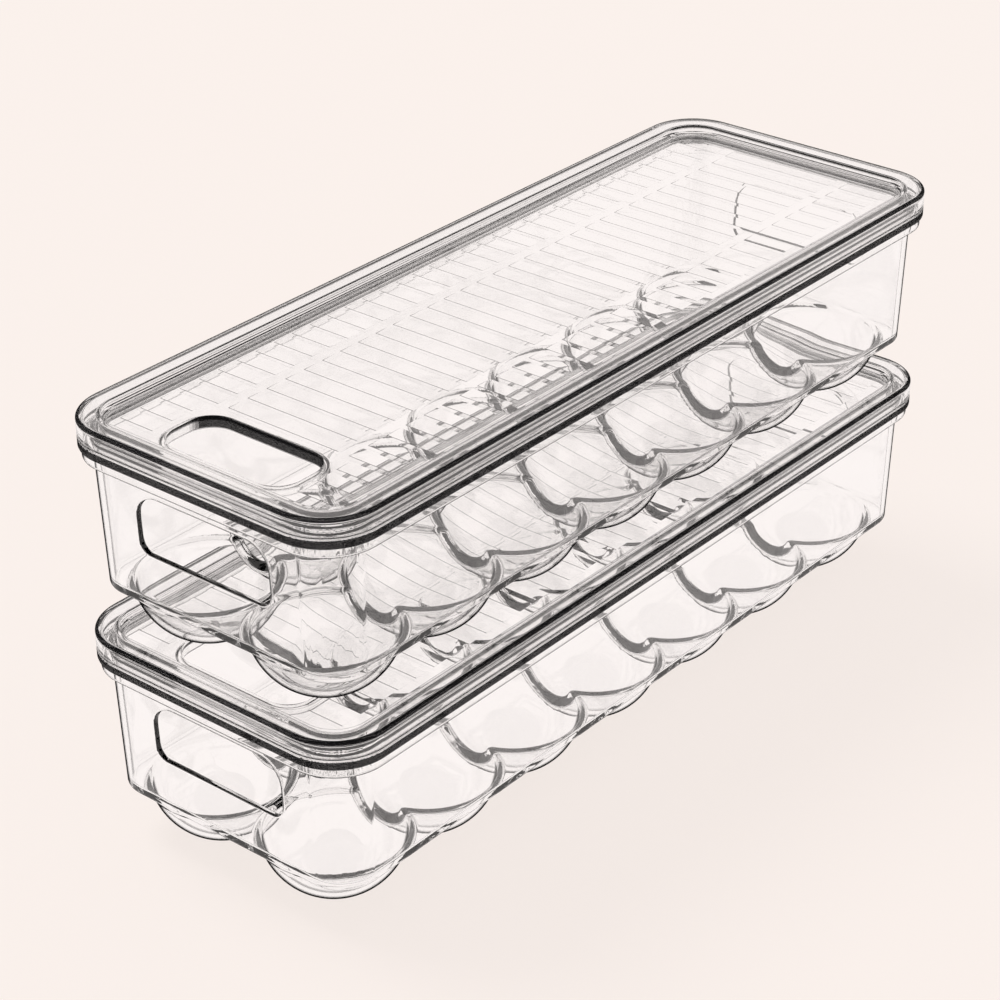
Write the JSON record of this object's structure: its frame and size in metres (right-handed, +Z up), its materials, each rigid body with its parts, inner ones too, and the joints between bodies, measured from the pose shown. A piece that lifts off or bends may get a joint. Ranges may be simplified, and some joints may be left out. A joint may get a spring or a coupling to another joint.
{
  "type": "stacked lidded egg holder",
  "caption": "Two clear stacking egg holders for a fridge, each a tray with two rows of round cups and hand holes, and a lift-off lid with a grip slot.",
  "frame": {"origin": "middle of the footprint, on the surface that the lower holder's cups stand on", "axes": "+Z up, Y along the length with the grip slots at the -Y end, X across the width"},
  "size_m": [0.132, 0.37, 0.1755],
  "materials": {
    "tray_plastic": "clear gloss",
    "lid_plastic": "clear gloss"
  },
  "bodies": {
    "lower_tray": {"lower_tray": "tray_plastic"},
    "lower_lid": {"lower_lid": "lid_plastic"},
    "upper_tray": {"upper_tray": "tray_plastic"},
    "upper_lid": {"upper_lid": "lid_plastic"}
  },
  "joints": [
    {"name": "lower_lid_lift", "type": "slide", "parent": "lower_tray", "child": "lower_lid", "axis": [0, 0, 1], "range_m": [0, 0.08]},
    {"name": "upper_tray_lift", "type": "slide", "parent": "lower_lid", "child": "upper_tray", "axis": [0, 0, 1], "range_m": [0, 0.08]},
    {"name": "upper_lid_lift", "type": "slide", "parent": "upper_tray", "child": "upper_lid", "axis": [0, 0, 1], "range_m": [0, 0.08]}
  ]
}
